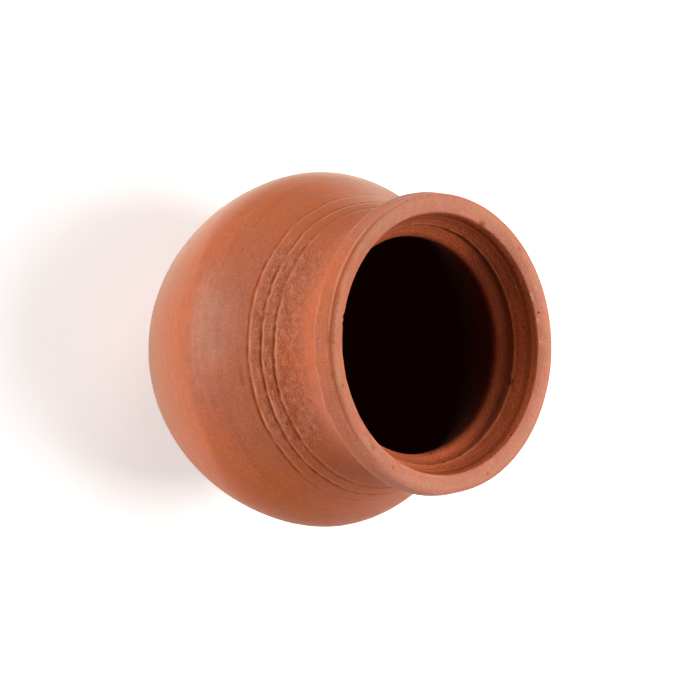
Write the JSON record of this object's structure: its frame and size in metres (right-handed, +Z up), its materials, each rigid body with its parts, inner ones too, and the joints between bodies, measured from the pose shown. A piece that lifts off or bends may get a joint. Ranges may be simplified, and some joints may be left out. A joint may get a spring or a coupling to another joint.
{
  "type": "terracotta water pot",
  "caption": "Round-bellied unglazed clay pot with a ribbed shoulder, a short neck and a thick flared lip, for storing and cooling drinking water.",
  "frame": {"origin": "centre of the resting face under the pot", "axes": "+Z up along the pot's own axis, through the middle of the mouth"},
  "size_m": [0.1574, 0.1574, 0.1555],
  "materials": {
    "fired_clay": "matt unglazed terracotta, fine sand in the clay, lightly burnished on the belly"
  },
  "bodies": {
    "root": {"pot": "fired_clay"}
  },
  "joints": []
}
